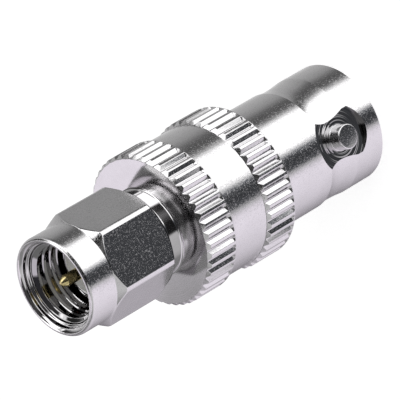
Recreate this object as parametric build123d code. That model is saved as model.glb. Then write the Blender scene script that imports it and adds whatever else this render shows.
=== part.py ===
from build123d import *
import math
import os

# Coax adapter: a bayonet jack at one end and a free-turning threaded nut round a pin at the other.
# It stands on its bayonet mouth. +Z runs up the axis, the bayonet lugs lie along X. Millimetres.

# Fits and clearances
press_gap = 0.01            # between pieces pressed or screwed together for good
running_gap = 0.05          # round what turns in the nut
end_gap = 0.20              # between the nut's back face and the neck's shoulder
ring_side_gap = 0.06        # beside the snap ring in the nut's groove
gasket_gap = 0.07           # round the gasket, inside the nut's thread
snap_side_gap = 0.02        # inside the snap ring, round the ferrule's groove
cutter_over = 0.30          # how far a cutter runs past the metal

# Bayonet barrel
barrel_r = 4.84
barrel_wall = 0.79
mouth_depth = 8.41          # mouth to the floor of the plug's ring gap
mouth_edge = 0.12           # chamfer on the mouth's outer edge
mouth_lead_in = 0.20        # chamfer on the mouth's inner edge
collar_len = 2.90           # plain collar between the mouth and the turned relief
relief_len = 3.00
relief_depth = 0.125
relief_rise = 1.10          # from the relief's lowest ring up to the barrel
barrel_len = 5.40           # relief to the rear knurled ring

# Bayonet lugs, each standing in the round pocket that a hollow mill leaves
lug_r = 0.97
lug_height = 0.66           # above the barrel
lug_edge = 0.10
lug_from_mouth = 4.10
lug_count = 2
pocket_r = 2.57
pocket_depth = 0.38         # barrel to the pocket's flat floor
lug_root = 0.15             # how far the lug's stock runs on below the pocket's floor

# Knurled grip: two straight-knurled rings with a plain band between them
band_step = 0.95            # band above the barrel
ring_step = 0.29            # rings above the band
ring_len = 3.00
band_len = 3.45
ring_front_bevel = 0.26     # length of the bevel on each ring's nut side
ring_rear_bevel = 0.16      # bevel on each ring's mouth side, as wide as it is long
groove_count = 46
groove_depth = 0.23
groove_width = 0.59         # across the knurl groove, at the ring's crest
groove_floor = 0.08         # across the groove's narrow floor
groove_stop = 0.26          # plain edge left behind the grooves, on the ring's mouth side
groove_turn_front = 2.4     # degrees from +X to the first groove of the ring by the nut
groove_turn_rear = 5.47     # degrees, ring by the barrel

# Neck and inner ferrule
neck_r = 3.40
neck_len = 1.36             # seen between the grip's face and the nut
neck_seat_edge = 0.15       # chamfer round the neck in the grip's face
ferrule_bore_r = 2.05
sleeve_wall = 0.25
sleeve_len = 2.45           # the plug's outer contact
sleeve_edge = 0.10
snap_groove_wall = 0.33     # left under the snap ring's groove
snap_groove_depth = 0.32
shoulder_len = 2.89         # carries the nut and its snap ring
flange_step = 0.55          # front insulator's captive flange, beyond the ferrule's bore
flange_len = 2.00

# Coupling nut
thread_step = 0.10          # thread's crests beyond the bore at the nut's back
nut_wall = 1.15             # thread's crests to the flats, eight millimetres across them
hex_sides = 6
hex_corner_rise = 0.53      # turned corners above the flats
hex_len = 5.99              # back face to the round skirt, chamfers included
hex_back_step = 0.06        # the back face's edge, below the flats
hex_back_angle = 39.0       # degrees, chamfer on the back of the corners
skirt_step = 0.05           # skirt below the hexagon's flats
skirt_len = 2.45
rim_edge_r = 0.15
rim_edge_len = 0.22
counterbore_step = 0.52     # counterbore at the nut's mouth, beyond the thread's crests
counterbore_depth = 0.54
counterbore_slope = 30.0    # degrees, from the counterbore's floor down to the thread
mouth_flare = 0.23          # lead-in's width at the mouth, beyond the counterbore
thread_overlap = 0.30       # how far the thread's bore reaches back over the ferrule's shoulder
lead_in_angle = 45.0
nut_turn = 6.0              # degrees, a flat's direction from +X as the nut rests

# Snap ring
snap_thick = 0.50
snap_width = 0.65
snap_seat = 1.69            # from the neck's shoulder to the ring
snap_mouth = 1.20           # gap in the C

# Gasket
gasket_len = 0.70

# Insulators and centre contacts
nose_r = 2.40
nose_from_mouth = 3.45
lip_step = 0.42             # lip behind the mouth, inside the grip's bore
lip_len = 1.19
flange_to_face = 5.55       # rear insulator's back face, below the grip's face
socket_r = 1.05
socket_recess = 0.10        # behind the rear insulator's nose
socket_bore_r = 0.675
socket_bore_depth = 5.05
socket_slot_count = 4
socket_slot_width = 0.20
socket_slot_len = 4.00
socket_edge = 0.08
socket_stop = 1.90          # insulator web between the socket's back and the ferrule
pin_body_r = 0.635
pin_collar_r = 0.95         # captive between the two insulators
pin_collar_len = 0.90
pin_r = 0.46
pin_tip_r = 0.15
pin_cone_len = 0.46
pin_reach = 2.57            # pin's tip above the ferrule's front plane
spigot_r = 0.45
spigot_len = 2.00

# Radii worked out from the sizes above
mouth_bore_r = barrel_r - barrel_wall
relief_r = barrel_r - relief_depth
band_r = barrel_r + band_step
ring_r = band_r + ring_step
grip_bore_r = neck_r + press_gap
lip_r = neck_r - lip_step
lip_bore_r = lip_r + press_gap
sleeve_r = ferrule_bore_r + sleeve_wall
flange_r = ferrule_bore_r + flange_step
snap_groove_r = ferrule_bore_r + snap_groove_wall
shoulder_r = snap_groove_r + snap_groove_depth
snap_inner_r = snap_groove_r + snap_side_gap
snap_outer_r = snap_inner_r + snap_width
back_bore_r = shoulder_r + running_gap
thread_crest_r = back_bore_r + thread_step
gasket_r = thread_crest_r - gasket_gap
counterbore_r = thread_crest_r + counterbore_step
nut_mouth_r = counterbore_r + mouth_flare
flat_r = thread_crest_r + nut_wall
corner_r = flat_r + hex_corner_rise
skirt_r = flat_r - skirt_step
hex_back_r = flat_r - hex_back_step

# Heights along the axis, from the mouth up
z_collar = collar_len
z_relief = z_collar + relief_len
z_ring_rear = z_relief + barrel_len
z_band = z_ring_rear + ring_len
z_ring_front = z_band + band_len
z_face = z_ring_front + ring_len
z_neck = z_face + neck_len
z_shoulder = z_neck + shoulder_len
z_plane = z_shoulder + sleeve_len
z_nut = z_neck + end_gap
z_skirt = z_nut + hex_len
z_rim = z_skirt + skirt_len
z_lip = mouth_depth + lip_len
z_stack = z_face - flange_to_face
z_socket = nose_from_mouth + socket_recess
z_socket_back = z_stack - socket_stop
z_pin_tip = z_plane + pin_reach
z_snap = z_neck + snap_seat


def turned(outline):
    """A solid turned about Z from a closed outline of (radius, height)."""
    return revolve(Plane.XZ * make_face(outline), Axis.Z)


def lathe(*points):
    """A turned solid whose outline is straight lines."""
    return turned(Polyline(*points, close=True))


def scallop(z_low, z_end):
    """An arc of the relief: upright at its lowest ring, rising to the barrel at z_end."""
    span = z_end - z_low
    arc_r = (span**2 + relief_depth**2) / (2 * relief_depth)
    middle = (relief_r + arc_r - math.sqrt(arc_r**2 - (span / 2)**2), z_low + span / 2)
    return (relief_r, z_low), middle, (barrel_r, z_end)


def ring_outline(z_base, below_r, above_r):
    """Outline points of one knurled ring, bevelled at both ends."""
    z_top = z_base + ring_len
    return [
        (below_r, z_base),
        (ring_r - ring_rear_bevel, z_base),
        (ring_r, z_base + ring_rear_bevel),
        (ring_r, z_top - ring_front_bevel),
        (above_r, z_top),
    ]


def shell_blank():
    """The shell as it leaves the lathe, before knurling and milling."""
    z_low = z_relief - relief_rise
    low, low_mid, collar_top = scallop(z_low, z_collar)
    _, high_mid, relief_top = scallop(z_low, z_relief)
    mouth = Polyline(
        (mouth_bore_r + mouth_lead_in, 0),
        (barrel_r - mouth_edge, 0),
        (barrel_r, mouth_edge),
        collar_top,
    )
    lower_arc = ThreePointArc(collar_top, low_mid, low)
    upper_arc = ThreePointArc(low, high_mid, relief_top)
    grip = Polyline(
        relief_top,
        *ring_outline(z_ring_rear, barrel_r, band_r),
        *ring_outline(z_ring_front, band_r, band_r),
        (grip_bore_r + neck_seat_edge, z_face),
        (grip_bore_r, z_face - neck_seat_edge),
        (grip_bore_r, z_lip),
        (lip_bore_r, z_lip),
        (lip_bore_r, mouth_depth),
        (mouth_bore_r, mouth_depth),
        (mouth_bore_r, mouth_lead_in),
        (mouth_bore_r + mouth_lead_in, 0),
    )
    return turned(mouth + lower_arc + upper_arc + grip)


def knurl_cutters(z_base, turn):
    """The grooves of one ring, set round the axis."""
    reach = ring_r + cutter_over
    floor_r = ring_r - groove_depth
    half_floor = groove_floor / 2
    half_width = half_floor + (groove_width / 2 - half_floor) * (reach - floor_r) / groove_depth
    profile = make_face(Polyline(
        (floor_r, -half_floor),
        (floor_r, half_floor),
        (reach, half_width),
        (reach, -half_width),
        close=True,
    ))
    groove_len = ring_len - groove_stop + cutter_over
    groove = Pos(0, 0, z_base + groove_stop) * extrude(profile, groove_len)
    step = 360 / groove_count
    return [Rot(0, 0, turn + index * step) * groove for index in range(groove_count)]


def lug_pocket():
    """What the hollow mill cuts round a lug, as a plug about the lug's own axis."""
    outside = barrel_r + lug_height + lug_edge
    floor_x = barrel_r - pocket_depth
    half = make_face(Plane.XZ * Polyline(
        (floor_x, 0),
        (floor_x, pocket_r),
        (outside, pocket_r),
        (outside, 0),
        close=True,
    ))
    return Pos(0, 0, lug_from_mouth) * revolve(half, Axis.X)


def lug():
    """One bayonet lug, from inside the barrel's wall to its chamfered tip."""
    root = barrel_r - pocket_depth - lug_root
    tip = barrel_r + lug_height
    half = make_face(Plane.XZ * Polyline(
        (root, 0),
        (root, lug_r),
        (tip - lug_edge, lug_r),
        (tip, lug_r - lug_edge),
        (tip, 0),
        close=True,
    ))
    return Pos(0, 0, lug_from_mouth) * revolve(half, Axis.X)


def make_shell():
    """Bayonet barrel, lugs and knurled grip in one turned and milled piece."""
    shell = shell_blank()
    shell -= knurl_cutters(z_ring_rear, groove_turn_rear)
    shell -= knurl_cutters(z_ring_front, groove_turn_front)
    for index in range(lug_count):
        place = Rot(0, 0, index * 360 / lug_count)
        shell -= place * lug_pocket()
        shell += place * lug()
    return shell


def make_ferrule():
    """Neck and inner ferrule: pressed into the grip, it carries the nut and the pin's insulator."""
    return lathe(
        (flange_r + press_gap, z_stack),
        (neck_r, z_stack),
        (neck_r, z_neck),
        (shoulder_r, z_neck),
        (shoulder_r, z_snap),
        (snap_groove_r, z_snap),
        (snap_groove_r, z_snap + snap_thick),
        (shoulder_r, z_snap + snap_thick),
        (shoulder_r, z_shoulder),
        (sleeve_r, z_shoulder),
        (sleeve_r, z_plane - sleeve_edge),
        (sleeve_r - sleeve_edge, z_plane),
        (ferrule_bore_r, z_plane),
        (ferrule_bore_r, z_stack + flange_len),
        (flange_r + press_gap, z_stack + flange_len),
    )


def make_nut():
    """Coupling nut: a hexagon with turned corners and a round skirt, bored for its thread."""
    back_rise = (corner_r - hex_back_r) * math.tan(math.radians(hex_back_angle))
    front_drop = corner_r - skirt_r
    lead_in = mouth_flare / math.tan(math.radians(lead_in_angle))
    z_counterbore = z_rim - counterbore_depth
    floor_drop = counterbore_step * math.tan(math.radians(counterbore_slope))
    groove_r = snap_outer_r + running_gap
    z_groove = z_snap - ring_side_gap
    z_groove_top = z_snap + snap_thick + ring_side_gap
    blank = lathe(
        (back_bore_r, z_nut),
        (hex_back_r, z_nut),
        (corner_r, z_nut + back_rise),
        (corner_r, z_skirt - front_drop),
        (skirt_r, z_skirt),
        (skirt_r, z_rim - rim_edge_len),
        (skirt_r - rim_edge_r, z_rim),
        (nut_mouth_r, z_rim),
        (counterbore_r, z_rim - lead_in),
        (counterbore_r, z_counterbore),
        (thread_crest_r, z_counterbore - floor_drop),
        (thread_crest_r, z_shoulder - thread_overlap),
        (back_bore_r, z_shoulder - thread_overlap),
        (back_bore_r, z_groove_top),
        (groove_r, z_groove_top),
        (groove_r, z_groove),
        (back_bore_r, z_groove),
    )
    flat_turn = nut_turn - 180 / hex_sides
    hexagon = RegularPolygon(flat_r, hex_sides, major_radius=False, rotation=flat_turn)
    prism = Pos(0, 0, z_nut) * extrude(hexagon, z_rim - z_nut)
    return blank & prism


def make_snap_ring():
    """The C ring that holds the nut on the ferrule."""
    ring = lathe(
        (snap_inner_r, z_snap),
        (snap_outer_r, z_snap),
        (snap_outer_r, z_snap + snap_thick),
        (snap_inner_r, z_snap + snap_thick),
    )
    reach = snap_outer_r + cutter_over
    mouth = Box(reach, snap_mouth, snap_thick + 2 * cutter_over)
    return ring - Pos(-reach / 2, 0, z_snap + snap_thick / 2) * mouth


def make_gasket():
    """Sealing ring at the root of the ferrule's sleeve."""
    inner = sleeve_r + press_gap
    return lathe(
        (inner, z_shoulder),
        (gasket_r, z_shoulder),
        (gasket_r, z_shoulder + gasket_len),
        (inner, z_shoulder + gasket_len),
    )


def make_rear_insulator():
    """Bayonet end's insulator: nose, step through the lip and pressed flange."""
    contact_bore = socket_r + press_gap
    pin_bore = pin_body_r + press_gap
    return lathe(
        (contact_bore, nose_from_mouth),
        (nose_r, nose_from_mouth),
        (nose_r, mouth_depth),
        (lip_r, mouth_depth),
        (lip_r, z_lip),
        (neck_r, z_lip),
        (neck_r, z_stack),
        (pin_bore, z_stack),
        (pin_bore, z_socket_back),
        (contact_bore, z_socket_back),
    )


def make_front_insulator():
    """Pin end's insulator, flush with the ferrule and held by its flange."""
    body_r = ferrule_bore_r - press_gap
    pin_bore = pin_body_r + press_gap
    collar_bore = pin_collar_r + press_gap
    return lathe(
        (collar_bore, z_stack),
        (flange_r, z_stack),
        (flange_r, z_stack + flange_len),
        (body_r, z_stack + flange_len),
        (body_r, z_plane),
        (pin_bore, z_plane),
        (pin_bore, z_stack + pin_collar_len),
        (collar_bore, z_stack + pin_collar_len),
    )


def make_socket_contact():
    """Slotted socket of the bayonet end, with a hole in its back for the pin's spigot."""
    spigot_bore = spigot_r + press_gap
    z_spigot_floor = z_socket_back - spigot_len - press_gap
    socket = lathe(
        (0, z_socket + socket_bore_depth),
        (socket_bore_r, z_socket + socket_bore_depth),
        (socket_bore_r, z_socket + socket_edge),
        (socket_bore_r + socket_edge, z_socket),
        (socket_r - socket_edge, z_socket),
        (socket_r, z_socket + socket_edge),
        (socket_r, z_socket_back),
        (spigot_bore, z_socket_back),
        (spigot_bore, z_spigot_floor),
        (0, z_spigot_floor),
    )
    reach = socket_r + cutter_over
    slot = Pos(reach / 2, 0, z_socket) * Box(reach, socket_slot_width, 2 * socket_slot_len)
    step = 360 / socket_slot_count
    for index in range(socket_slot_count):
        socket -= Rot(0, 0, index * step + step / 2) * slot
    return socket


def make_pin_contact():
    """Centre pin: pointed tip, collar held between the insulators, spigot in the socket."""
    return lathe(
        (0, z_socket_back - spigot_len),
        (spigot_r, z_socket_back - spigot_len),
        (spigot_r, z_socket_back),
        (pin_body_r, z_socket_back),
        (pin_body_r, z_stack),
        (pin_collar_r, z_stack),
        (pin_collar_r, z_stack + pin_collar_len),
        (pin_body_r, z_stack + pin_collar_len),
        (pin_body_r, z_plane),
        (pin_r, z_plane),
        (pin_r, z_pin_tip - pin_cone_len),
        (pin_tip_r, z_pin_tip),
        (0, z_pin_tip),
    )


pieces = {
    "shell": make_shell(),
    "ferrule": make_ferrule(),
    "coupling_nut": make_nut(),
    "snap_ring": make_snap_ring(),
    "gasket": make_gasket(),
    "rear_insulator": make_rear_insulator(),
    "front_insulator": make_front_insulator(),
    "socket_contact": make_socket_contact(),
    "pin_contact": make_pin_contact(),
}

os.makedirs("parts", exist_ok=True)
for name, solid in pieces.items():
    export_step(solid, f"parts/{name}.step")
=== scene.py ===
import math

import bpy
from mathutils import Matrix, Vector


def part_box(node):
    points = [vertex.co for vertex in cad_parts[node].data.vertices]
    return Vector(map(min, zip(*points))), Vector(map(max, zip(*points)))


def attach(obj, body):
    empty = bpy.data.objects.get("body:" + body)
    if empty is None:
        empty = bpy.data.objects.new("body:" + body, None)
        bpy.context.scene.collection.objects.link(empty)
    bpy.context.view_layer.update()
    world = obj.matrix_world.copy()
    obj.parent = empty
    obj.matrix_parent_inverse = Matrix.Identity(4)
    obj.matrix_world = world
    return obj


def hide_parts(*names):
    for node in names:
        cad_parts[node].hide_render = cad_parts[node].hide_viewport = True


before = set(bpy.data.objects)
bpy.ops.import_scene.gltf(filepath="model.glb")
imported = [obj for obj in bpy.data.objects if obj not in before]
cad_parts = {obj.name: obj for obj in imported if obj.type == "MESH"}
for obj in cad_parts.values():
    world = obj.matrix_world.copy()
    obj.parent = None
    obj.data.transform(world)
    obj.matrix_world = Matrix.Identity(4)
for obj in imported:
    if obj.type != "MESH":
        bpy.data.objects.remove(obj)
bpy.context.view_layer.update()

bl_info = {
    "name": "Coax adapter",
    "version": (1, 0, 0),
    "blender": (4, 5, 0),
    "location": "View3D > Sidebar > Coax adapter",
    "description": "Models a bright-plated coax adapter on its CAD frame and sets its studio",
    "category": "Add Mesh",
}

MM = 0.001
MICRON = 0.001 * MM
FULL_TURN = 2 * math.pi
Z_AXIS = (0, 0, 1)
BODY = "body"
NUT_BODY = "coupling_nut"

# Points nearer than these are made one, also where a plane cuts
MERGE = MICRON
CUT_MERGE = MERGE / 10


# Property helpers

def length(name, text, millimetres):
    """A length that a user may change, given in millimetres."""
    return bpy.props.FloatProperty(
        name=name, description=text, default=millimetres * MM, unit="LENGTH", precision=5
    )


def turn(name, text, degrees):
    """An angle that a user may change, given in degrees."""
    return bpy.props.FloatProperty(
        name=name, description=text, default=math.radians(degrees), subtype="ANGLE"
    )


def colour(name, text, value):
    """A colour that a user may change."""
    return bpy.props.FloatVectorProperty(
        name=name, description=text, default=value, subtype="COLOR", min=0, max=1
    )


def amount(name, text, value):
    """A plain number that a user may change."""
    return bpy.props.FloatProperty(name=name, description=text, default=value)


def count(name, text, value):
    """A whole number that a user may change."""
    return bpy.props.IntProperty(name=name, description=text, default=value, min=1)


class ShellSizes(bpy.types.PropertyGroup):
    """Sizes of the barrel, its lugs and the grip."""

    barrel_r: length("Barrel radius", "Outside of the bayonet barrel", 4.84)
    mouth_r: length("Mouth radius", "Bore of the bayonet mouth", 4.05)
    mouth_depth: length("Mouth depth", "Mouth to the floor of its ring gap", 8.41)
    mouth_edge: length("Mouth edge", "Chamfer on the mouth's outer edge", 0.12)
    mouth_lead: length("Mouth lead-in", "Chamfer on the mouth's inner edge", 0.20)
    collar_end: length("Collar end", "Height where the relief starts", 2.90)
    relief_low: length("Relief bottom", "Height of the relief's lowest ring", 4.80)
    relief_end: length("Relief end", "Height where the relief meets the barrel", 5.90)
    relief_depth: length("Relief depth", "Depth of the relief", 0.125)
    barrel_end: length("Barrel end", "Height of the rear knurled ring", 11.30)
    band_r: length("Band radius", "Outside of the plain band", 5.79)
    grip_end: length("Grip end", "Height of the grip's polished face", 20.75)
    grip_bore_r: length("Grip bore", "Radius of the grip's bore", 3.41)
    face_edge: length("Face edge", "Chamfer round the neck in the grip's face", 0.05)
    face_rise: length("Face rise", "How far the grip's face rises towards the neck", 0.05)
    lip_r: length("Lip radius", "Bore of the lip behind the mouth", 2.99)
    lip_end: length("Lip end", "Height of the lip's far side", 9.60)
    lug_r: length("Lug radius", "Radius of a bayonet lug", 0.97)
    lug_tip: length("Lug tip", "Lug tip's distance from the axis", 5.50)
    lug_z: length("Lug height", "Height of the lugs' own axis", 4.10)
    lug_edge: length("Lug edge", "Rounding of the lug's tip", 0.10)
    lug_root: length("Lug root", "Start of the lug's stock, from the axis", 4.31)
    lug_foot: length("Lug foot", "Fillet where the lug meets the pocket's floor", 0.06)
    pocket_r: length("Pocket radius", "Radius of the milled pocket", 2.57)
    pocket_floor: length("Pocket floor", "Pocket's flat floor, from the axis", 4.46)


class GripSizes(bpy.types.PropertyGroup):
    """Sizes of the two knurled rings."""

    ring_r: length("Ring radius", "Crest of the knurl", 6.08)
    ring_len: length("Ring length", "Length of one knurled ring", 3.00)
    rear_start: length("Rear ring", "Height where the rear ring starts", 11.30)
    front_start: length("Front ring", "Height where the front ring starts", 17.75)
    teeth: count("Teeth", "Grooves round one ring", 46)
    groove_width: length("Groove width", "Across a groove at the crest", 0.59)
    groove_floor: length("Groove floor", "Across a groove's narrow floor", 0.08)
    groove_depth: length("Groove depth", "Depth of a groove", 0.25)
    groove_stop: length("Groove stop", "Plain edge left behind the grooves", 0.26)
    run_out: length("Run-out", "Length of the slope at a groove's end", 0.14)
    front_bevel: length("Front bevel", "Length of the bevel on the nut's side", 0.26)
    rear_bevel: length("Rear bevel", "Bevel on the mouth's side", 0.16)
    edge: length("Edge", "Rounding of the knurl's edges", 0.028)
    front_turn: turn("Front turn", "First groove of the ring by the nut", 2.4)
    rear_turn: turn("Rear turn", "First groove of the ring by the barrel", 5.47)


class NutSizes(bpy.types.PropertyGroup):
    """Sizes of the coupling nut."""

    flat_r: length("Flats", "Axis to one flat", 4.00)
    corner_r: length("Corners", "Axis to a turned corner", 4.53)
    sides: count("Sides", "Flats round the nut", 6)
    start: length("Start", "Height of the nut's back face", 22.31)
    back_r: length("Back edge", "Radius of the back face's edge", 3.94)
    back_angle: turn("Back angle", "Chamfer on the back of the corners", 39.0)
    back_reach: length("Back reach", "The back chamfer lies below this height on the nut", 0.60)
    skirt_r: length("Skirt radius", "Radius of the round skirt", 3.95)
    skirt_start: length("Skirt start", "Height where the skirt starts", 28.30)
    rim_edge_r: length("Rim edge width", "Width of the rim's outer chamfer", 0.15)
    rim_edge_len: length("Rim edge length", "Length of the rim's outer chamfer", 0.22)
    rim_bore_r: length("Rim bore", "Inside of the flat rim", 3.60)
    mouth_r: length("Counterbore", "Radius of the counterbore at the nut's mouth", 3.37)
    mouth_depth: length("Counterbore depth", "Rim to the counterbore's floor", 0.54)
    mouth_slope: turn("Floor slope", "Slope of the counterbore's floor", 30.0)
    relief_r: length("Thread relief", "Radius of the thread's first groove", 3.20)
    relief_len: length("Relief length", "Length of the thread's first groove", 0.20)
    bore_r: length("Back bore", "Bore round the ferrule's shoulder", 2.75)
    thread_crest_r: length("Thread crest", "Radius at the thread's crests", 2.85)
    thread_root_r: length("Thread root", "Radius at the thread's roots", 3.175)
    thread_pitch: length("Thread pitch", "Distance between two turns", 0.7056)
    thread_start: length("Thread start", "Height of the thread's first full turn", 26.02)
    thread_flank: turn("Thread flank", "Slope of a thread groove's sides", 30.0)
    bore_step: length("Bore step", "Height where the back bore ends", 24.70)
    groove_start: length("Groove start", "Height of the snap ring's groove", 23.74)
    groove_len: length("Groove length", "Width of the snap ring's groove", 0.62)
    groove_r: length("Groove radius", "Radius of the snap ring's groove", 3.10)
    edge: length("Edge", "Rounding of the nut's edges", 0.09)
    rest_turn: turn("Turn", "Direction of a flat as the nut rests", 6.0)


class CoreSizes(bpy.types.PropertyGroup):
    """Sizes of the neck, the sleeve, the insulators and the contacts."""

    neck_r: length("Neck radius", "Outside of the neck", 3.40)
    neck_end: length("Neck end", "Height of the neck's shoulder", 22.11)
    foot_z: length("Foot height", "Height where the fillet at the neck's foot starts", 20.80)
    foot_r: length("Foot fillet", "Radius of the fillet at the neck's foot", 0.20)
    foot_sunk: length("Foot root", "How far the fillet's ring is set into the grip's face", 0.03)
    neck_edge: length("Neck edge", "Rounding of the neck's and sleeve's edges", 0.03)
    back: length("Back", "Height of the ferrule's back face", 15.20)
    flange_end: length("Flange end", "Height of the insulator's flange", 17.20)
    flange_r: length("Flange radius", "Recess for the insulator's flange", 2.61)
    shoulder_r: length("Shoulder radius", "What the nut turns on", 2.70)
    shoulder_end: length("Shoulder end", "Height of the shoulder's front", 25.00)
    snap_start: length("Snap groove", "Height of the snap ring's groove", 23.80)
    snap_len: length("Snap width", "Width of the snap ring's groove", 0.50)
    snap_r: length("Snap floor", "Floor of the snap ring's groove", 2.38)
    sleeve_r: length("Sleeve radius", "Outside of the front sleeve", 2.30)
    sleeve_bore_r: length("Sleeve bore", "Inside of the front sleeve", 2.05)
    sleeve_edge: length("Sleeve edge", "Chamfer on the sleeve's front", 0.10)
    plane: length("Front plane", "Height of the sleeve's front", 27.45)
    pin_r: length("Pin radius", "Radius of the centre pin", 0.46)
    pin_body_r: length("Pin body", "Radius of the pin in its insulators", 0.635)
    pin_collar_r: length("Pin collar", "Radius of the pin's captive collar", 0.95)
    pin_collar_len: length("Collar length", "Length of the pin's collar", 0.90)
    pin_start: length("Pin start", "Height of the pin's spigot", 11.30)
    pin_stop: length("Pin stop", "Height of the socket's back", 13.30)
    spigot_r: length("Spigot radius", "Radius of the pin's spigot", 0.45)
    pin_cone: length("Cone start", "Height where the pin's cone starts", 29.56)
    pin_tip: length("Pin tip", "Height of the pin's tip", 30.02)
    pin_tip_r: length("Tip radius", "Radius of the pin's flat tip", 0.15)
    pin_round: length("Tip rounding", "Rounding of the pin's edges", 0.05)


class Finishes(bpy.types.PropertyGroup):
    """Colours and strengths of the finishes."""

    nickel: colour("Nickel", "Bright nickel plate", (0.85, 0.84, 0.85))
    nickel_shade: colour("Nickel shade", "Nickel in its duller patches", (0.805, 0.795, 0.805))
    gold: colour("Gold", "Gold plate", (0.82, 0.70, 0.36))
    gold_shade: colour("Gold shade", "Gold in its duller patches", (0.70, 0.58, 0.27))
    insulator: colour("Insulator", "White insulator", (0.86, 0.86, 0.83))
    gasket: colour("Gasket", "Gasket rubber", (0.50, 0.16, 0.12))
    bronze: colour("Bronze", "Snap ring bronze", (0.72, 0.50, 0.28))


class StudioSettings(bpy.types.PropertyGroup):
    """The camera, the floor and the light."""

    azimuth: turn("Azimuth", "Camera's direction from +X", 14.5)
    elevation: turn("Elevation", "Camera's height above the horizon", 37.8)
    roll: turn("Roll", "Turn of the picture round its centre", 30.35)
    distance: length("Distance", "Camera to its target", 285.0)
    target_z: length("Target height", "Height of the camera's target", 15.2)
    target_side: length("Target side", "Target's offset to the camera's side", 0.13)
    lens: amount("Lens", "Focal length in millimetres", 344.7)
    floor_size: length("Floor size", "Side of the floor", 3000.0)
    floor_colour: colour("Floor colour", "Plain pale floor", (0.90, 0.90, 0.90))
    floor_lift: amount("Floor lift", "Light that whitens the floor for the camera alone", 0.57)
    world_light: amount("World light", "Strength of the plain light all round", 0.50)
    overhead_card: colour("Overhead card", "Dark card above the object", (0.04, 0.04, 0.045))
    key_light: amount("Key light", "Power of the soft lamp, in watts", 0.30)
    key_size: length("Key size", "Side of the soft lamp", 400.0)
    key_distance: length("Key distance", "Lamp to the object", 500.0)


# Modelling helpers

def deselect():
    """Nothing is selected."""
    bpy.ops.object.select_all(action="DESELECT")


def activate(piece):
    """Only this piece is selected, and it is active."""
    deselect()
    piece.select_set(True)
    bpy.context.view_layer.objects.active = piece


def edit(piece):
    """The piece is in edit mode with nothing selected."""
    activate(piece)
    bpy.ops.object.mode_set(mode="EDIT")
    bpy.ops.mesh.select_all(action="DESELECT")


def leave():
    """Back to object mode."""
    bpy.ops.object.mode_set(mode="OBJECT")


def draw_line(name, places):
    """A new piece, left in edit mode, whose line is drawn from place to place."""
    deselect()
    bpy.ops.mesh.primitive_plane_add(size=MM)
    piece = bpy.context.object
    piece.name = name
    piece.data.name = name
    bpy.ops.object.mode_set(mode="EDIT")
    bpy.ops.mesh.select_mode(type="VERT")
    bpy.ops.mesh.select_all(action="SELECT")
    bpy.ops.mesh.merge(type="CENTER")
    bpy.ops.transform.translate(value=places[0])
    for here, there in zip(places, places[1:]):
        bpy.ops.mesh.extrude_vertices_move(TRANSFORM_OT_translate={"value": there - here})
    return piece


def draw_outline(name, points):
    """A line of (radius, height) points in the XZ plane."""
    return draw_line(name, [Vector((radius, 0, height)) for radius, height in points])


def tidy_mesh():
    """Merges doubles and turns every face outwards, in edit mode."""
    bpy.ops.mesh.select_all(action="SELECT")
    bpy.ops.mesh.remove_doubles(threshold=MERGE)
    bpy.ops.mesh.normals_make_consistent(inside=False)
    bpy.ops.mesh.select_all(action="DESELECT")


def cut_away(point, normal):
    """Cuts off what lies beyond a plane and closes the cut, in edit mode."""
    bpy.ops.mesh.select_all(action="SELECT")
    bpy.ops.mesh.bisect(
        plane_co=point, plane_no=normal, use_fill=True, clear_outer=True, threshold=CUT_MERGE
    )


def lathe(name, points, steps):
    """A solid turned about Z from an outline, which is closed unless it ends on the axis."""
    on_axis = points[0][0] == 0 and points[-1][0] == 0
    piece = draw_outline(name, points if on_axis else [*points, points[0]])
    bpy.ops.mesh.select_all(action="SELECT")
    bpy.ops.mesh.spin(steps=steps, angle=FULL_TURN, center=(0, 0, 0), axis=Z_AXIS)
    tidy_mesh()
    leave()
    return piece


def pick(piece, kind, test):
    """Selects the vertices, edges or faces that pass the test, from edit mode and back to it."""
    bpy.ops.mesh.select_mode(type=kind)
    bpy.ops.mesh.select_all(action="DESELECT")
    leave()
    mesh = piece.data
    parts = {"VERT": mesh.vertices, "EDGE": mesh.edges, "FACE": mesh.polygons}
    for part in parts[kind]:
        part.select = test(part)
    bpy.ops.object.mode_set(mode="EDIT")


def apply(piece, kind, **settings):
    """Adds a modifier with its settings, and applies it."""
    activate(piece)
    modifier = piece.modifiers.new(kind.title(), kind)
    for key, value in settings.items():
        setattr(modifier, key, value)
    bpy.ops.object.modifier_apply(modifier=modifier.name)


def combine(piece, tool, operation):
    """Cuts the tool from the piece or adds it, and deletes the tool."""
    apply(
        piece, "BOOLEAN", object=tool, operation=operation,
        solver="EXACT", material_mode="TRANSFER",
    )
    bpy.data.objects.remove(tool)


def round_edges(piece, width, past):
    """Rounds every edge that turns past this angle, in degrees."""
    apply(
        piece, "BEVEL", width=width, segments=ROUNDING_STEPS, limit_method="ANGLE",
        angle_limit=math.radians(past), use_clamp_overlap=False,
    )


def shade(piece, past):
    """Smooth shading, but for edges that turn past this angle, in degrees."""
    activate(piece)
    bpy.ops.object.shade_smooth_by_angle(angle=math.radians(past))


def crisp_border(piece, *names):
    """The border round the faces with these finishes stays crisp."""
    indexes = [piece.data.materials.find(name) for name in names]
    edit(piece)
    pick(piece, "FACE", lambda face: face.material_index in indexes)
    bpy.ops.mesh.region_to_loop()
    bpy.ops.mesh.mark_sharp()
    leave()


def steady_normals(piece):
    """Large faces keep their own normals up to the roundings beside them."""
    apply(piece, "WEIGHTED_NORMAL", keep_sharp=True)


def place(piece, body, solid):
    """The finished piece rides on its body and stands for its CAD solid."""
    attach(piece, body)
    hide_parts(solid)


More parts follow.
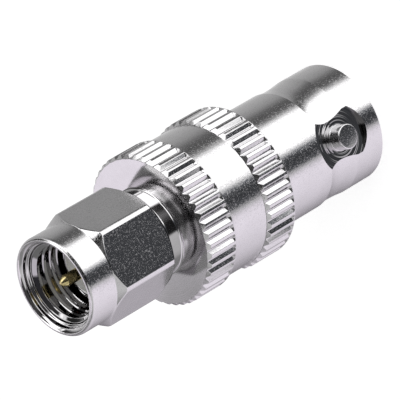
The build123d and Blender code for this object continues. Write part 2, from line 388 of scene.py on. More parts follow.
def flare(low, far, steps):
    """Points of an arc that leaves the low point along the axis and ends at the far one."""
    span = far[1] - low[1]
    rise = far[0] - low[0]
    radius = (span**2 + rise**2) / (2 * rise)
    points = []
    for index in range(steps + 1):
        along = span * (index / steps)
        points.append((low[0] + radius - math.sqrt(radius**2 - along**2), low[1] + along))
    return points


def round_corner(centre, radius, first, last):
    """Points along an arc round a centre, between two directions in degrees."""
    turns = [first + (last - first) * index / CORNER_STEPS for index in range(CORNER_STEPS + 1)]
    return [
        (
            centre[0] + radius * math.cos(math.radians(degrees)),
            centre[1] + radius * math.sin(math.radians(degrees)),
        )
        for degrees in turns
    ]


# Material helpers

NUMBER = "NodeSocketFloat"
WHITE = (1, 1, 1, 1)

# Coarse waves among a lathe's rings, and the spans of noise that make patches and pits
WAVES_PER_RING = 0.12
PATCH_SPAN = (0.35, 0.70)
PIT_SPAN = (0.36, 0.70)


def new_material(name):
    """A new material's node tree, empty but for a shader and the output, and the shader."""
    material = bpy.data.materials.new(name)
    material.use_nodes = True
    tree = material.node_tree
    tree.nodes.clear()
    shader = node(tree, "ShaderNodeBsdfPrincipled")
    node(tree, "ShaderNodeOutputMaterial", {"Surface": shader.outputs["BSDF"]})
    return tree, shader


def new_group(name, inputs):
    """An empty node group, and the sockets of its inputs, each a number with its default."""
    group = bpy.data.node_groups.new(name, "ShaderNodeTree")
    for label, default in inputs.items():
        socket = group.interface.new_socket(label, in_out="INPUT", socket_type=NUMBER)
        socket.default_value = default
    return group, node(group, "NodeGroupInput").outputs


def put_out(group, values):
    """The group puts out these numbers, each under its own name."""
    for label in values:
        group.interface.new_socket(label, in_out="OUTPUT", socket_type=NUMBER)
    node(group, "NodeGroupOutput", values)


def plug(tree, made, inputs):
    """Links or sets a node's inputs, each by its name or number."""
    for key, value in inputs.items():
        socket = made.inputs[key]
        if isinstance(value, bpy.types.NodeSocket):
            tree.links.new(value, socket)
        else:
            socket.default_value = value


def node(tree, kind, inputs=None, **settings):
    """A node with its settings and its inputs."""
    made = tree.nodes.new(kind)
    for key, value in settings.items():
        setattr(made, key, value)
    plug(tree, made, inputs or {})
    return made


def use_group(tree, name, **values):
    """Places a node group in a tree, sets its inputs and gives its outputs."""
    named = {key.replace("_", " ").capitalize(): value for key, value in values.items()}
    return node(tree, "ShaderNodeGroup", named, node_tree=bpy.data.node_groups[name]).outputs


def worked_out(tree, operation, *values):
    """The result of one sum on numbers or sockets."""
    return node(tree, "ShaderNodeMath", dict(enumerate(values)), operation=operation).outputs[0]


def noise(tree, where, scale, detail, roughness=0.5):
    """Noise that changes in every direction."""
    inputs = {"Vector": where, "Scale": scale, "Detail": detail, "Roughness": roughness}
    return node(tree, "ShaderNodeTexNoise", inputs).outputs["Fac"]


def ring_noise(tree, along, scale, detail):
    """Noise that changes along one distance only, as a tool's rings do."""
    inputs = {"W": along, "Scale": scale, "Detail": detail}
    return node(tree, "ShaderNodeTexNoise", inputs, noise_dimensions="1D").outputs["Fac"]


def spread(tree, value, span, onto=(0.0, 1.0)):
    """The value, with this span of it spread onto another."""
    labels = ("Value", "From Min", "From Max", "To Min", "To Max")
    inputs = dict(zip(labels, (value, *span, *onto)))
    return node(tree, "ShaderNodeMapRange", inputs).outputs["Result"]


def mix_colours(tree, share, first, second):
    """A mix of two colours, each a socket or a colour with its alpha."""
    inputs = {"Factor": share, "A": first, "B": second}
    return node(tree, "ShaderNodeMix", inputs, data_type="RGBA").outputs["Result"]


def mix_shaders(tree, share, first, second):
    """A mix of two shaders."""
    return node(tree, "ShaderNodeMixShader", {0: share, 1: first, 2: second}).outputs[0]


def bumped(tree, height, depth, below=None):
    """A normal bumped by a height of this depth, in metres."""
    inputs = {"Height": height, "Distance": depth, "Strength": 1.0}
    if below is not None:
        inputs["Normal"] = below
    return node(tree, "ShaderNodeBump", inputs).outputs["Normal"]


def make_lathe_lines():
    """Height of the fine rings that a turning tool leaves, along the axis and across a face."""
    group, given = new_group("Lathe lines", {"Rings per metre": 9000.0, "Waviness": 0.35})
    where = node(group, "ShaderNodeTexCoord").outputs["Object"]
    x, y, z = node(group, "ShaderNodeSeparateXYZ", {0: where}).outputs
    squares = [worked_out(group, "POWER", part, 2.0) for part in (x, y)]
    radius = worked_out(group, "SQRT", worked_out(group, "ADD", *squares))
    along = worked_out(group, "ADD", radius, z)
    fine = ring_noise(group, along, given["Rings per metre"], detail=1.0)
    waves = worked_out(group, "MULTIPLY", given["Rings per metre"], WAVES_PER_RING)
    coarse = ring_noise(group, along, waves, detail=0.0)
    put_out(group, {"Height": worked_out(group, "MULTIPLY_ADD", coarse, given["Waviness"], fine)})


def make_plating_grain():
    """Fine grain, duller patches and tiny pits of plated metal."""
    group, given = new_group(
        "Plating grain",
        {"Grains per metre": 9000.0, "Pits per metre": 8000.0, "Patches per metre": 500.0},
    )
    where = node(group, "ShaderNodeTexCoord").outputs["Object"]
    patches = noise(group, where, given["Patches per metre"], detail=4.0, roughness=0.6)
    specks = noise(group, where, given["Pits per metre"], detail=2.0)
    put_out(group, {
        "Height": noise(group, where, given["Grains per metre"], detail=2.0),
        "Patches": spread(group, patches, PATCH_SPAN),
        "Pits": spread(group, specks, PIT_SPAN),
    })


def make_milled_rings():
    """Height of the rings that the hollow mill leaves round a lug, on the floor and the wall."""
    group, given = new_group("Milled rings", {"Rings per metre": 4400.0, "Lug height": 0.0})
    where = node(group, "ShaderNodeTexCoord").outputs["Object"]
    x, y, z = node(group, "ShaderNodeSeparateXYZ", {0: where}).outputs
    up = worked_out(group, "SUBTRACT", z, given["Lug height"])
    flat = node(group, "ShaderNodeCombineXYZ", {"X": y, "Y": up}).outputs[0]
    away = node(group, "ShaderNodeVectorMath", {0: flat}, operation="LENGTH").outputs["Value"]
    along = worked_out(group, "ADD", away, worked_out(group, "ABSOLUTE", x))
    put_out(group, {"Height": ring_noise(group, along, given["Rings per metre"], detail=1.0)})


def patchy(name, bright, dull, rough, metallic):
    """A material that changes in patches: its tree, shader, grain and roughness."""
    tree, shader = new_material(name)
    grain = use_group(tree, "Plating grain")
    colours = mix_colours(tree, grain["Patches"], (*bright, 1), (*dull, 1))
    roughness = spread(tree, grain["Patches"], (0.0, 1.0), rough)
    plug(tree, shader, {"Base Color": colours, "Metallic": metallic, "Roughness": roughness})
    return tree, shader, grain, roughness


def plated_metal(
    name, bright, dull, rings=0.3 * MICRON, grain=0.3 * MICRON, rough=(0.02, 0.05), pitting=0.02
):
    """Plated, turned metal: depths of its rings and grain, and roughness in patches and pits."""
    tree, shader, plating, even = patchy(name, bright, dull, rough, metallic=1.0)
    pitted = worked_out(tree, "MULTIPLY_ADD", plating["Pits"], pitting, even)
    normal = bumped(tree, use_group(tree, "Lathe lines")["Height"], rings)
    normal = bumped(tree, plating["Height"], grain, normal)
    plug(tree, shader, {"Roughness": pitted, "Normal": normal})


def milled_metal(name, bright, dull, rings=24 * MICRON, rough=(0.05, 0.10)):
    """The plated floor or wall of a milled pocket: depth of the mill's rings, and roughness."""
    tree, shader, *_ = patchy(name, bright, dull, rough, metallic=1.0)
    lug_z = bpy.context.scene.adapter_shell.lug_z
    height = use_group(tree, "Milled rings", lug_height=lug_z)["Height"]
    plug(tree, shader, {"Normal": bumped(tree, height, rings)})


def plain_moulding(name, base, patch, rough, sheen=0.0, rings=2 * MICRON, grain=1 * MICRON):
    """Moulded or turned plastic or rubber: depths of its rings and its faint grain."""
    tree, shader, moulding, _ = patchy(name, base, patch, rough, metallic=0.0)
    lines = use_group(tree, "Lathe lines", rings_per_metre=7000.0)
    normal = bumped(tree, lines["Height"], rings)
    normal = bumped(tree, moulding["Height"], grain, normal)
    plug(tree, shader, {"Sheen Weight": sheen, "Normal": normal})


def shaded(value, share):
    """A colour darkened to a share of itself."""
    return tuple(part * share for part in value)


def make_materials():
    """Every finish on the adapter; some colours are painted darker as painted shade."""
    make_lathe_lines()
    make_plating_grain()
    make_milled_rings()
    look = bpy.context.scene.adapter_finishes
    nickel = look.nickel
    dull = look.nickel_shade
    plated_metal("plated_nickel", nickel, dull, grain=3.5 * MICRON, pitting=0.30)
    plated_metal("turned_nickel", nickel, dull)
    plated_metal("polished_face", nickel, dull, rough=(0.11, 0.14))
    # The thread deep in the nut's bore has its colour painted darker: painted shade
    plated_metal("tapped_nickel_in_painted_shade", shaded(nickel, 0.62), shaded(dull, 0.60))
    # The nut's downward back faces: a rougher, duller finish, and a colour painted darker as
    # painted shade
    plated_metal(
        "dull_nickel_in_painted_shade", shaded(nickel, 0.40), shaded(dull, 0.35),
        grain=1.0 * MICRON, rough=(0.08, 0.15), pitting=0.10,
    )
    # The lug pockets' floor, and their wall more so, have their colour painted darker: painted
    # shade in the pockets
    milled_metal("milled_nickel_in_painted_shade", shaded(nickel, 0.75), shaded(dull, 0.65))
    milled_metal("milled_wall_in_painted_shade", shaded(nickel, 0.40), shaded(dull, 0.25))
    plated_metal(
        "plated_gold", look.gold, look.gold_shade,
        rings=0.8 * MICRON, rough=(0.12, 0.20), pitting=0.10,
    )
    plated_metal(
        "polished_bronze", look.bronze, shaded(look.bronze, 0.70),
        rings=1.0 * MICRON, grain=1.0 * MICRON, rough=(0.25, 0.35), pitting=0.10,
    )
    plain_moulding(
        "white_plastic", look.insulator, shaded(look.insulator, 0.90), rough=(0.4, 0.5)
    )
    plain_moulding(
        "red_rubber", look.gasket, shaded(look.gasket, 0.70), rough=(0.6, 0.7), sheen=0.2
    )


def dress(piece, *materials):
    """Gives a new piece its materials."""
    for name in materials:
        piece.data.materials.append(bpy.data.materials[name])


def give_finish(piece, name, test):
    """Gives the faces that pass the test one of the piece's materials."""
    edit(piece)
    pick(piece, "FACE", test)
    piece.active_material_index = piece.data.materials.find(name)
    bpy.ops.object.material_slot_assign()
    leave()


# Pieces

# Steps along the relief's two arcs, a rounded corner, a rounded edge and a turn of the thread
COLLAR_STEPS = 12
BARREL_STEPS = 10
CORNER_STEPS = 6
ROUNDING_STEPS = 3
TAP_STEPS = 96

# Faces are told apart by their normal: level ones, walls and those that face down
LEVEL_FACE = 0.9
WALL_FACE = 0.5
DOWN_FACE = -0.15

# A tooth's side lies this near to half a pitch, as a share of it
SIDE_MARGIN = 0.01

# Flat at a thread groove's root, as a share of the pitch
ROOT_FLAT = 1 / 8


def shell_outline(s):
    """Outline of the barrel, the band under the rings and every bore."""
    relief_r = s.barrel_r - s.relief_depth
    low = (relief_r, s.relief_low)
    collar = flare(low, (s.barrel_r, s.collar_end), COLLAR_STEPS)
    barrel = flare(low, (s.barrel_r, s.relief_end), BARREL_STEPS)
    return [
        (s.mouth_r + s.mouth_lead, 0),
        (s.barrel_r - s.mouth_edge, 0),
        (s.barrel_r, s.mouth_edge),
        *reversed(collar),
        *barrel[1:],
        (s.barrel_r, s.barrel_end),
        (s.band_r, s.barrel_end),
        (s.band_r, s.grip_end),
        (s.grip_bore_r + s.face_edge, s.grip_end + s.face_rise),
        (s.grip_bore_r, s.grip_end - s.face_edge),
        (s.grip_bore_r, s.lip_end),
        (s.lip_r, s.lip_end),
        (s.lip_r, s.mouth_depth),
        (s.mouth_r, s.mouth_depth),
        (s.mouth_r, s.mouth_lead),
    ]


def lay_along_x(piece, height):
    """Turns a piece from the Z axis to the X axis, at this height."""
    activate(piece)
    piece.rotation_euler.y = math.pi / 2
    piece.location.z = height
    bpy.ops.object.transform_apply()


def opposite(piece):
    """A copy of a piece, with its own mesh, half a turn round the axis."""
    copy = piece.copy()
    copy.data = piece.data.copy()
    bpy.context.scene.collection.objects.link(copy)
    activate(copy)
    copy.rotation_euler.z = math.pi
    bpy.ops.object.transform_apply()
    return copy


def combine_pair(piece, tool, operation):
    """Cuts or adds the tool and its copy on the other side."""
    second = opposite(tool)
    combine(piece, tool, operation)
    combine(piece, second, operation)


def pocket_tool(s):
    """The hollow mill's cut round one lug, about the X axis."""
    outside = s.lug_tip + s.lug_r
    outline = [
        (0, s.pocket_floor), (s.pocket_r, s.pocket_floor), (s.pocket_r, outside), (0, outside),
    ]
    tool = lathe("pocket_tool", outline, steps=128)
    lay_along_x(tool, s.lug_z)
    return tool


def lug_stock(s):
    """One lug, with a fillet at its foot and a rounded tip."""
    foot_r = s.lug_r + s.lug_foot
    outline = [
        (0, s.lug_root),
        (foot_r, s.lug_root),
        *round_corner((foot_r, s.pocket_floor + s.lug_foot), s.lug_foot, -90, -180),
        *round_corner((s.lug_r - s.lug_edge, s.lug_tip - s.lug_edge), s.lug_edge, 0, 90),
        (0, s.lug_tip),
    ]
    lug = lathe("lug", outline, steps=64)
    lay_along_x(lug, s.lug_z)
    return lug


class ADAPTER_OT_shell(bpy.types.Operator):
    """Turns the barrel and the grip's core, mills the pockets and raises the lugs"""

    bl_idname = "adapter.shell"
    bl_label = "Shell"

    def execute(self, context):
        s = context.scene.adapter_shell
        shell = lathe("bayonet_shell", shell_outline(s), steps=368)
        dress(shell, "plated_nickel", "milled_nickel_in_painted_shade", "milled_wall_in_painted_shade", "polished_face")
        give_finish(
            shell, "polished_face",
            lambda face: face.normal.z > LEVEL_FACE and face.center.z > s.grip_end,
        )
        # The pockets' floor and wall take the nickel painted darker: painted shade
        tool = pocket_tool(s)
        dress(tool, "milled_nickel_in_painted_shade", "milled_wall_in_painted_shade")
        give_finish(tool, "milled_wall_in_painted_shade", lambda face: abs(face.normal.x) < WALL_FACE)
        combine_pair(shell, tool, "DIFFERENCE")
        lug = lug_stock(s)
        dress(lug, "plated_nickel")
        combine_pair(shell, lug, "UNION")
        shade(shell, past=32)
        self.keep_relief_lines(shell, s)
        crisp_border(shell, "milled_nickel_in_painted_shade", "milled_wall_in_painted_shade")
        steady_normals(shell)
        place(shell, BODY, "shell")
        return {"FINISHED"}

    def keep_relief_lines(self, shell, s):
        """The relief's two turned edges stay crisp."""
        heights = (s.collar_end, s.relief_end)
        edit(shell)

        def on_line(edge):
            ends = [shell.data.vertices[index].co.z for index in edge.vertices]
            return any(all(abs(z - height) < MERGE for z in ends) for height in heights)

        pick(shell, "EDGE", on_line)
        bpy.ops.mesh.mark_sharp()
        leave()


def tooth(name, s, start):
    """One tooth of a knurled ring, open where it meets its neighbours."""
    band_r = bpy.context.scene.adapter_shell.band_r
    low_r = s.ring_r - s.groove_depth
    half_pitch = math.pi / s.teeth
    half_land = half_pitch - math.asin(s.groove_width / 2 / s.ring_r)
    foot = half_pitch - math.asin(s.groove_floor / 2 / low_r)
    crest = (-half_pitch, -foot, -half_land, 0.0, half_land, foot, half_pitch)
    corners = [
        (band_r, -half_pitch),
        *((s.ring_r, angle) for angle in crest),
        (band_r, half_pitch),
        (band_r, 0.0),
        (band_r, -half_pitch),
    ]
    piece = draw_line(
        name, [Vector((r * math.cos(a), r * math.sin(a), start)) for r, a in corners]
    )
    bpy.ops.mesh.select_all(action="SELECT")
    bpy.ops.mesh.remove_doubles(threshold=MERGE)
    bpy.ops.mesh.edge_face_add()
    floor_start = start + s.groove_stop + s.run_out / 2
    raise_face(floor_start - s.run_out - start)
    raise_face(s.run_out)

    def in_groove(vertex):
        x, y, z = vertex.co
        far = math.hypot(x, y) > (band_r + low_r) / 2
        aside = abs(math.atan2(y, x)) > (half_land + foot) / 2
        return far and aside and z > floor_start - MERGE

    pick(piece, "VERT", in_groove)
    share = low_r / s.ring_r
    bpy.ops.transform.resize(value=(share, share, 1), center_override=(0, 0, 0))
    pick(piece, "FACE", lambda face: face.center.z > floor_start - MERGE)
    raise_face(start + s.ring_len - floor_start)
    bevel_tooth(s, start, band_r)
    drop_joints(piece, half_pitch)
    return piece


def raise_face(rise):
    """Extrudes the selected face upwards."""
    bpy.ops.mesh.extrude_region_move(TRANSFORM_OT_translate={"value": (0, 0, rise)})


def bevel_tooth(s, start, band_r):
    """Cuts the bevels at both ends of a tooth."""
    end = start + s.ring_len
    depth = s.ring_r - band_r
    cuts = [
        ((band_r, 0, end), (s.front_bevel, 0, depth)),
        ((s.ring_r, 0, start + s.rear_bevel), (s.rear_bevel, 0, -s.rear_bevel)),
    ]
    for point, normal in cuts:
        cut_away(point, Vector(normal).normalized())


def drop_joints(piece, half_pitch):
    """Deletes the tooth's side faces, where it meets its neighbours."""

    def on_side(face):
        angle = math.atan2(face.center.y, face.center.x)
        return abs(abs(angle) - half_pitch) < half_pitch * SIDE_MARGIN

    pick(piece, "FACE", on_side)
    bpy.ops.mesh.delete(type="FACE")


def knurled_ring(name, s, start, first_groove):
    """A ring of teeth, all copies of one."""
    piece = tooth(name, s, start)
    pitch = FULL_TURN / s.teeth
    bpy.ops.mesh.select_all(action="SELECT")
    bpy.ops.transform.rotate(
        value=-(first_groove + pitch / 2), orient_axis="Z", center_override=(0, 0, 0)
    )
    bpy.ops.mesh.spin(
        steps=s.teeth - 1, dupli=True, angle=pitch * (s.teeth - 1),
        center=(0, 0, 0), axis=Z_AXIS,
    )
    tidy_mesh()
    leave()
    round_edges(piece, s.edge, past=30)
    dress(piece, "plated_nickel")
    shade(piece, past=30)
    place(piece, BODY, "shell")


class ADAPTER_OT_grip(bpy.types.Operator):
    """Cuts the two knurled rings of the grip"""

    bl_idname = "adapter.grip"
    bl_label = "Knurled rings"

    def execute(self, context):
        s = context.scene.adapter_grip
        knurled_ring("grip_ring_front", s, s.front_start, s.front_turn)
        knurled_ring("grip_ring_rear", s, s.rear_start, s.rear_turn)
        return {"FINISHED"}


def nut_outline(s, top):
    """Outline of the nut's blank, before its flats and thread."""
    front_drop = s.corner_r - s.skirt_r
    lead = s.rim_bore_r - s.mouth_r
    slope = math.tan(s.mouth_slope)
    floor_z = top - s.mouth_depth
    root_z = floor_z - (s.mouth_r - s.relief_r) * slope
    start_z = root_z - s.relief_len
    return [
        (s.bore_r, s.start),
        (s.back_r, s.start),
        (s.corner_r, s.start + (s.corner_r - s.back_r) * math.tan(s.back_angle)),
        (s.corner_r, s.skirt_start - front_drop),
        (s.skirt_r, s.skirt_start),
        (s.skirt_r, top - s.rim_edge_len),
        (s.skirt_r - s.rim_edge_r, top),
        (s.rim_bore_r, top),
        (s.mouth_r, top - lead),
        (s.mouth_r, floor_z),
        (s.relief_r, root_z),
        (s.relief_r, start_z),
        (s.thread_crest_r, start_z - (s.relief_r - s.thread_crest_r) * slope),
        (s.thread_crest_r, s.bore_step),
        (s.bore_r, s.bore_step),
        (s.bore_r, s.groove_start + s.groove_len),
        (s.groove_r, s.groove_start + s.groove_len),
        (s.groove_r, s.groove_start),
        (s.bore_r, s.groove_start),
    ]


def cut_flats(nut, s):
    """Mills the nut's flats."""
    edit(nut)
    for index in range(s.sides):
        angle = s.rest_turn + index * FULL_TURN / s.sides
        normal = Vector((math.cos(angle), math.sin(angle), 0))
        cut_away(normal * s.flat_r, normal)
    tidy_mesh()
    leave()


def thread_tool(s, top):
    """The tap: one long helical ridge that cuts the nut's thread."""
    depth = s.thread_root_r - s.thread_crest_r
    root_half = s.thread_pitch * ROOT_FLAT / 2
    back = depth / 2
    foot_half = root_half + (depth + back) * math.tan(s.thread_flank)
    turns = math.ceil((top - s.mouth_depth - s.thread_start) / s.thread_pitch)
    inner_r = s.thread_crest_r - back
    low = s.thread_start
    tool = draw_outline(
        "thread_tool",
        [
            (inner_r, low - foot_half),
            (s.thread_root_r, low - root_half),
            (s.thread_root_r, low + root_half),
            (inner_r, low + foot_half),
            (inner_r, low - foot_half),
        ],
    )
    bpy.ops.mesh.select_all(action="SELECT")
    bpy.ops.mesh.remove_doubles(threshold=MERGE)
    leave()
    apply(
        tool, "SCREW", steps=TAP_STEPS, render_steps=TAP_STEPS, screw_offset=s.thread_pitch,
        iterations=turns, use_merge_vertices=True, merge_threshold=MERGE / 2,
    )
    edit(tool)
    bpy.ops.mesh.select_mode(type="EDGE")
    bpy.ops.mesh.select_non_manifold()
    bpy.ops.mesh.fill_holes(sides=0)
    tidy_mesh()
    leave()
    return tool


class ADAPTER_OT_nut(bpy.types.Operator):
    """Turns the coupling nut, mills its flats and taps its thread"""

    bl_idname = "adapter.nut"
    bl_label = "Coupling nut"

    def execute(self, context):
        s = context.scene.adapter_nut
        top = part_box("coupling_nut")[1].z
        nut = lathe("threaded_nut", nut_outline(s, top), steps=360)
        cut_flats(nut, s)
        round_edges(nut, s.edge, past=20)
        dress(nut, "plated_nickel", "dull_nickel_in_painted_shade", "turned_nickel", "tapped_nickel_in_painted_shade")
        # The nut's back faces that face down take the nickel painted darker: painted shade
        give_finish(
            nut, "dull_nickel_in_painted_shade",
            lambda face: face.normal.z < DOWN_FACE and face.center.z < s.start + s.back_reach,
        )
        give_finish(
            nut, "turned_nickel",
            lambda face: math.hypot(face.center.x, face.center.y) < s.rim_bore_r,
        )
        # The thread in the bore takes the nickel painted darker: painted shade
        give_finish(nut, "tapped_nickel_in_painted_shade", lambda face: self.in_thread(s, top, face.center))
        tool = thread_tool(s, top)
        dress(tool, "tapped_nickel_in_painted_shade")
        combine(nut, tool, "DIFFERENCE")
        shade(nut, past=20)
        steady_normals(nut)
        place(nut, NUT_BODY, "coupling_nut")
        return {"FINISHED"}

    def in_thread(self, s, top, point):
        """Whether a point lies where the thread is tapped."""
        radius = math.hypot(point.x, point.y)
        return radius < s.relief_r and s.bore_step < point.z < top - s.mouth_depth


def ferrule_outline(s):
    """Outline of the neck, the shoulder and the front sleeve."""
    return [
        (s.flange_r, s.back),
        (s.neck_r, s.back),
        (s.neck_r, s.foot_z - s.foot_sunk),
        (s.neck_r + s.foot_r, s.foot_z - s.foot_sunk),
        *round_corner((s.neck_r + s.foot_r, s.foot_z + s.foot_r), s.foot_r, -90, -180),
        (s.neck_r, s.neck_end),
        (s.shoulder_r, s.neck_end),
        (s.shoulder_r, s.snap_start),
        (s.snap_r, s.snap_start),
        (s.snap_r, s.snap_start + s.snap_len),
        (s.shoulder_r, s.snap_start + s.snap_len),
        (s.shoulder_r, s.shoulder_end),
        (s.sleeve_r, s.shoulder_end),
        (s.sleeve_r, s.plane - s.sleeve_edge),
        (s.sleeve_r - s.sleeve_edge, s.plane),
        (s.sleeve_bore_r, s.plane),
        (s.sleeve_bore_r, s.flange_end),
        (s.flange_r, s.flange_end),
    ]


def turn_piece(name, outline, steps, rounding, finish, solid):
    """A turned piece with rounded edges, which rides on the body for its CAD solid."""
    piece = lathe(name, outline, steps)
    round_edges(piece, rounding, past=30)
    dress(piece, finish)
    shade(piece, past=32)
    place(piece, BODY, solid)


class ADAPTER_OT_neck(bpy.types.Operator):
    """Turns the neck and the sleeve inside the nut"""

    bl_idname = "adapter.neck"
    bl_label = "Neck and sleeve"

    def execute(self, context):
        s = context.scene.adapter_core
        turn_piece(
            "neck_and_sleeve", ferrule_outline(s), steps=256, rounding=s.neck_edge,
            finish="turned_nickel", solid="ferrule",
        )
        return {"FINISHED"}


def pin_outline(s):
    """Outline of the centre pin."""
    return [
        (0, s.pin_start),
        (s.spigot_r, s.pin_start),
        (s.spigot_r, s.pin_stop),
        (s.pin_body_r, s.pin_stop),
        (s.pin_body_r, s.back),
        (s.pin_collar_r, s.back),
        (s.pin_collar_r, s.back + s.pin_collar_len),
        (s.pin_body_r, s.back + s.pin_collar_len),
        (s.pin_body_r, s.plane),
        (s.pin_r, s.plane),
        (s.pin_r, s.pin_cone),
        (s.pin_tip_r, s.pin_tip),
        (0, s.pin_tip),
    ]


class ADAPTER_OT_pin(bpy.types.Operator):
    """Turns the centre pin"""

    bl_idname = "adapter.pin"
    bl_label = "Centre pin"

    def execute(self, context):
        s = context.scene.adapter_core
        turn_piece(
            "centre_pin", pin_outline(s), steps=96, rounding=s.pin_round,
            finish="plated_gold", solid="pin_contact",
        )
        return {"FINISHED"}


class ADAPTER_OT_inner(bpy.types.Operator):
    """Gives the inner CAD pieces their finishes"""

    bl_idname = "adapter.inner"
    bl_label = "Inner pieces"

    def execute(self, context):
        finishes = {
            "snap_ring": "polished_bronze",
            "gasket": "red_rubber",
            "rear_insulator": "white_plastic",
            "front_insulator": "white_plastic",
            "socket_contact": "plated_gold",
            "shell": "plated_nickel",
            "ferrule": "plated_nickel",
            "coupling_nut": "plated_nickel",
            "pin_contact": "plated_gold",
        }
        for name, finish in finishes.items():
            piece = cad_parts[name]
            piece.data.materials.clear()
            piece.data.materials.append(bpy.data.materials[finish])
        return {"FINISHED"}


# Studio

PLAIN = (1.0, 1.0, 1.0)
LILAC = (1.03, 0.975, 1.06)
COOL = (0.95, 0.99, 1.08)

# Rows of cards that mirror finishes see: runs of one tint, and each stop's degrees and grey
LOW_BANDS = [
    (LILAC, [
        (-180, 0.70), (-168, 0.25), (-158, 0.25), (-150, 0.33), (-136, 0.44), (-112, 0.66),
        (-80, 0.81), (-56, 0.87), (-46, 0.80),
    ]),
    (PLAIN, [(-38, 0.48)]),
    (COOL, [(-34, 0.08), (-24, 0.045), (-12, 0.055), (-7, 0.17)]),
    (PLAIN, [
        (-1, 0.90), (3, 1.4), (56, 1.4), (61, 0.75), (66, 0.32), (72, 0.13), (80, 0.09),
        (90, 0.13), (104, 0.31), (120, 0.39), (140, 0.45), (156, 0.55), (166, 0.70), (180, 0.70),
    ]),
]
HIGH_BANDS = [
    (LILAC, [(-180, 0.88), (-178.8, 0.88)]),
    (PLAIN, [
        (-177.2, 0.24), (-165, 0.22), (-110, 0.24), (-98, 0.27), (-88, 0.46), (-76, 0.55),
        (-60, 0.54), (-34, 0.58), (-29, 0.01), (-2, 0.01), (8, 0.07), (16, 0.15), (24, 0.11),
        (31, 0.02), (47, 0.01), (52, 1.6), (99, 1.6), (101, 0.35), (105, 0.35), (106, 1.4),
        (109, 1.4), (113, 0.03), (130, 0.03), (150, 0.10), (166, 0.30),
    ]),
    (LILAC, [(175, 0.88), (180, 0.88)]),
]
TOP_BANDS = [
    (LILAC, [(-180, 0.50), (-135, 0.85), (-76, 0.85)]),
    (PLAIN, [(-70, 0.05), (92, 0.05), (98, 2.0), (140, 2.0)]),
    (LILAC, [(180, 0.50)]),
]

# Heights, as sines, between which one row of cards gives way to the next
HIGH_RISE = (0.15, 0.35)
TOP_RISE = (0.70, 0.74)
CARD_RISE = (0.925, 0.945)

# Direction of the soft lamp
LAMP_SIDE = Vector((0.5, 0.6, 1.0)).normalized()


def band_ramp(tree, azimuth, bands):
    """One row of cards as a ramp, whose middle is the camera's direction."""
    cards = [(degrees, shaded(tint, grey)) for tint, run in bands for degrees, grey in run]
    ramp = node(tree, "ShaderNodeValToRGB", {"Fac": azimuth})
    stops = ramp.color_ramp.elements
    middle = 0.5
    while len(stops) < len(cards):
        stops.new(middle)
    for stop, (degrees, value) in zip(stops, cards):
        stop.position = middle + degrees / 360
        stop.color = (*value, 1)
    return ramp.outputs["Color"]


def background(tree, colour, strength=1.0):
    """Light from all round."""
    inputs = {"Color": colour, "Strength": strength}
    return node(tree, "ShaderNodeBackground", inputs).outputs[0]


def make_world(s):
    """Plain light all round, and for mirror finishes rows of soft boxes and dark cards."""
    world = bpy.data.worlds.new("studio")
    bpy.context.scene.world = world
    world.use_nodes = True
    tree = world.node_tree
    tree.nodes.clear()
    way = node(tree, "ShaderNodeTexCoord").outputs["Generated"]
    turned = node(
        tree, "ShaderNodeVectorRotate", {"Vector": way, "Angle": -s.azimuth},
        rotation_type="Z_AXIS",
    )
    azimuth = node(
        tree, "ShaderNodeTexGradient", {"Vector": turned.outputs[0]}, gradient_type="RADIAL"
    )
    height = node(tree, "ShaderNodeSeparateXYZ", {0: way}).outputs["Z"]
    low, high, top = (
        band_ramp(tree, azimuth.outputs["Fac"], bands)
        for bands in (LOW_BANDS, HIGH_BANDS, TOP_BANDS)
    )
    cards = mix_colours(tree, spread(tree, height, HIGH_RISE), low, high)
    cards = mix_colours(tree, spread(tree, height, TOP_RISE), cards, top)
    cards = mix_colours(tree, spread(tree, height, CARD_RISE), cards, (*s.overhead_card, 1))
    path = node(tree, "ShaderNodeLightPath").outputs
    plain = background(tree, WHITE, s.world_light)
    seen = mix_shaders(tree, path["Is Glossy Ray"], plain, background(tree, cards))
    seen = mix_shaders(tree, path["Is Camera Ray"], seen, background(tree, WHITE))
    node(tree, "ShaderNodeOutputWorld", {"Surface": seen})


def make_floor(s):
    """A plain pale floor, white to the camera but for the object's shadow."""
    tree, shader = new_material("pale_floor")
    matt = {"Base Color": (*s.floor_colour, 1), "Roughness": 0.9, "Specular IOR Level": 0.0}
    plug(tree, shader, matt)
    path = node(tree, "ShaderNodeLightPath").outputs
    dark, lift = (
        node(tree, "ShaderNodeEmission", {"Color": WHITE, "Strength": strength}).outputs[0]
        for strength in (0.0, s.floor_lift)
    )
    seen = mix_shaders(tree, path["Is Camera Ray"], dark, lift)
    both = node(tree, "ShaderNodeAddShader", {0: shader.outputs[0], 1: seen})
    output = next(part for part in tree.nodes if part.type == "OUTPUT_MATERIAL")
    plug(tree, output, {"Surface": both.outputs[0]})
    deselect()
    bpy.ops.mesh.primitive_plane_add(size=s.floor_size)
    floor = bpy.context.object
    floor.name = "floor"
    dress(floor, "pale_floor")
    floor.visible_glossy = False


def make_camera(s):
    """The camera of the photograph."""
    side = Vector((math.cos(s.azimuth), math.sin(s.azimuth), 0))
    up = Vector(Z_AXIS)
    toward = up * math.sin(s.elevation) + side * math.cos(s.elevation)
    across = up.cross(side)
    level = side * math.sin(s.elevation) - up * math.cos(s.elevation)
    right = level * math.cos(s.roll) - across * math.sin(s.roll)
    top = level * math.sin(s.roll) + across * math.cos(s.roll)
    target = up * s.target_z + across * s.target_side
    lens = bpy.data.cameras.new("camera")
    lens.lens = s.lens
    lens.clip_start = 10 * MM
    lens.clip_end = 10000 * MM
    camera = bpy.data.objects.new("camera", lens)
    bpy.context.scene.collection.objects.link(camera)
    axes = Matrix((right, top, toward)).transposed().to_4x4()
    camera.matrix_world = Matrix.Translation(target + toward * s.distance) @ axes
    bpy.context.scene.camera = camera


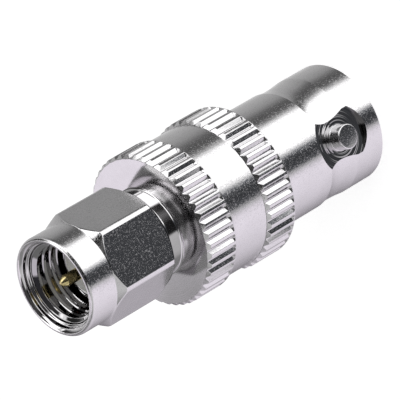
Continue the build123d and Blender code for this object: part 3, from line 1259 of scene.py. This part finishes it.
def make_lamp(s):
    """One large soft lamp above and beside the object."""
    lamp = bpy.data.lights.new("soft_lamp", "AREA")
    lamp.energy = s.key_light
    lamp.size = s.key_size
    stand = bpy.data.objects.new("soft_lamp", lamp)
    bpy.context.scene.collection.objects.link(stand)
    stand.location = LAMP_SIDE * s.key_distance
    stand.rotation_mode = "QUATERNION"
    stand.rotation_quaternion = LAMP_SIDE.to_track_quat("Z", "Y")
    stand.visible_glossy = False


class ADAPTER_OT_stage(bpy.types.Operator):
    """Sets the floor, the light and the camera"""

    bl_idname = "adapter.stage"
    bl_label = "Studio"

    def execute(self, context):
        s = context.scene.adapter_studio
        make_floor(s)
        make_world(s)
        make_lamp(s)
        make_camera(s)
        context.scene.view_settings.view_transform = "Standard"
        return {"FINISHED"}


class ADAPTER_PT_panel(bpy.types.Panel):
    """The adapter's sizes, finishes and steps"""

    bl_idname = "ADAPTER_PT_panel"
    bl_label = "Coax adapter"
    bl_space_type = "VIEW_3D"
    bl_region_type = "UI"
    bl_category = "Coax adapter"

    def draw(self, context):
        layout = self.layout
        for name, kind in SETTINGS.items():
            box = layout.box()
            box.label(text=kind.__doc__)
            for key in kind.__annotations__:
                box.prop(getattr(context.scene, name), key)
        for operator in OPERATORS:
            layout.operator(operator.bl_idname)


SETTINGS = {
    "adapter_shell": ShellSizes,
    "adapter_grip": GripSizes,
    "adapter_nut": NutSizes,
    "adapter_core": CoreSizes,
    "adapter_finishes": Finishes,
    "adapter_studio": StudioSettings,
}
OPERATORS = [
    ADAPTER_OT_shell,
    ADAPTER_OT_grip,
    ADAPTER_OT_nut,
    ADAPTER_OT_neck,
    ADAPTER_OT_pin,
    ADAPTER_OT_inner,
    ADAPTER_OT_stage,
]


def register():
    """Adds the add-on's classes and settings."""
    for name, kind in SETTINGS.items():
        bpy.utils.register_class(kind)
        setattr(bpy.types.Scene, name, bpy.props.PointerProperty(type=kind))
    for operator in OPERATORS:
        bpy.utils.register_class(operator)
    bpy.utils.register_class(ADAPTER_PT_panel)


def unregister():
    """Takes the add-on's classes and settings away."""
    bpy.utils.unregister_class(ADAPTER_PT_panel)
    for operator in reversed(OPERATORS):
        bpy.utils.unregister_class(operator)
    for name, kind in SETTINGS.items():
        delattr(bpy.types.Scene, name)
        bpy.utils.unregister_class(kind)


def main():
    """Builds the adapter and its studio."""
    register()
    make_materials()
    bpy.ops.adapter.shell()
    bpy.ops.adapter.grip()
    bpy.ops.adapter.nut()
    bpy.ops.adapter.neck()
    bpy.ops.adapter.pin()
    bpy.ops.adapter.inner()
    bpy.ops.adapter.stage()


if __name__ == "__main__":
    main()
